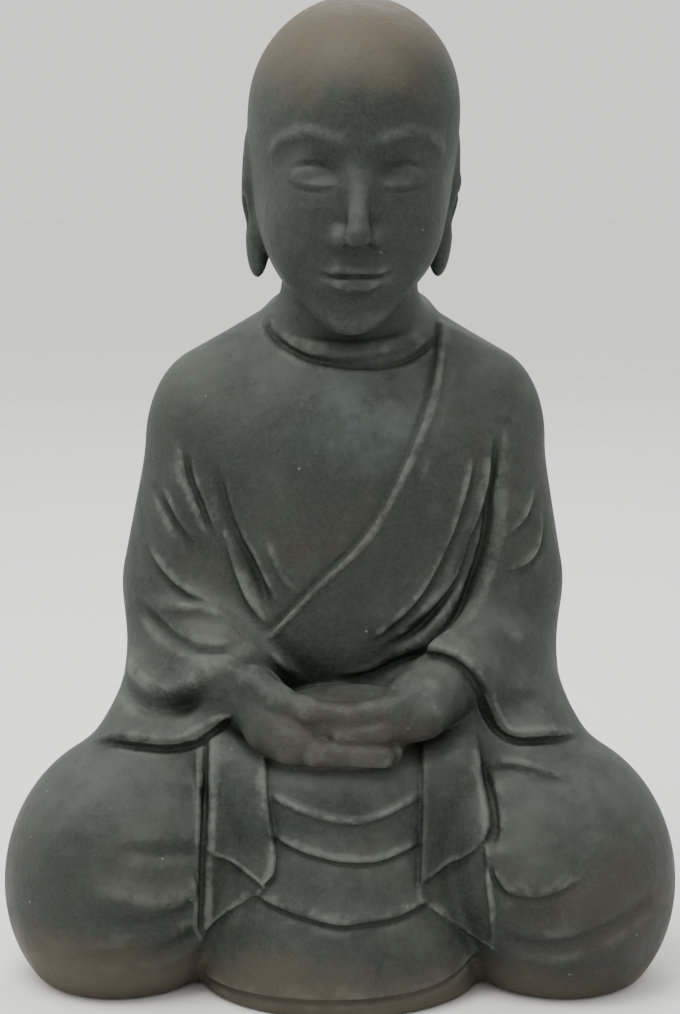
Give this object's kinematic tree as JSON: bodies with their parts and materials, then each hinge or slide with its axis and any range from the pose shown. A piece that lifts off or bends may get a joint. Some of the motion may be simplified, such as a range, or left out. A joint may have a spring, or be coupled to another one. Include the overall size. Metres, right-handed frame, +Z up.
{
  "type": "seated jizo statue",
  "caption": "Cast stone garden figure of a shaven-headed monk in a draped robe, seated cross-legged with the hands resting in the lap.",
  "frame": {"origin": "on the ground, at the middle of the figure's bounding box", "axes": "+Z up; the figure faces -Y; +X is to the right of someone looking at its face"},
  "size_m": [0.4282, 0.27, 0.6179],
  "materials": {
    "cast_stone": "dry matt to satin, dark anthracite grey-green patina, browner on the crown and along the ground"
  },
  "bodies": {
    "root": {"jizo": "cast_stone"}
  },
  "joints": []
}
